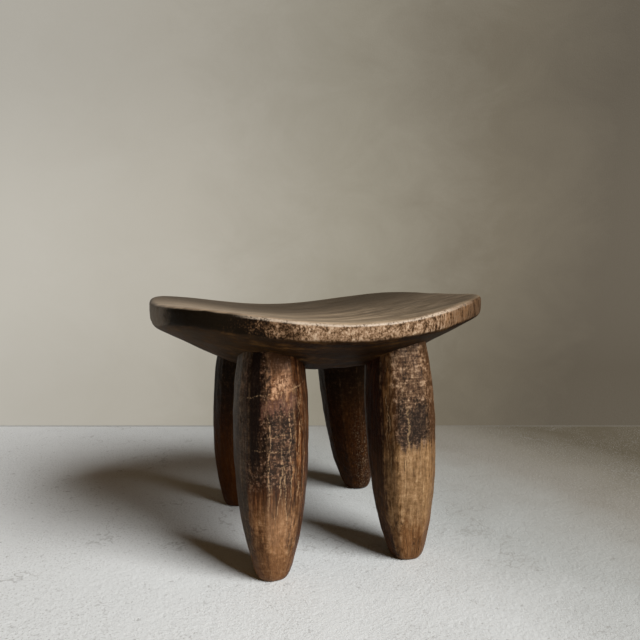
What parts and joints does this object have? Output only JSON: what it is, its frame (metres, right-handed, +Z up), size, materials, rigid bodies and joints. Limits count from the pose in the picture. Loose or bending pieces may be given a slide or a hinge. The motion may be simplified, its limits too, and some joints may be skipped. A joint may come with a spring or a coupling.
{
  "type": "carved stool",
  "caption": "Low carved wooden stool with a hollowed, upswept seat, a deep rounded underside and bulging legs that taper to small flat feet.",
  "frame": {"origin": "on the floor, under the centre of the seat's plan", "axes": "+X along the seat, to the viewer's right; +Y from front to back; +Z up"},
  "size_m": [0.454, 0.352, 0.3483],
  "materials": {
    "seat_wood": "satin, worn dark patina over brown wood",
    "leg_wood": "satin, dark patina worn through to brown wood, knife-cut flats"
  },
  "bodies": {
    "root": {"seat": "seat_wood", "front_left_leg": "leg_wood", "front_right_leg": "leg_wood", "rear_left_leg": "leg_wood", "rear_right_leg": "leg_wood"}
  },
  "joints": []
}
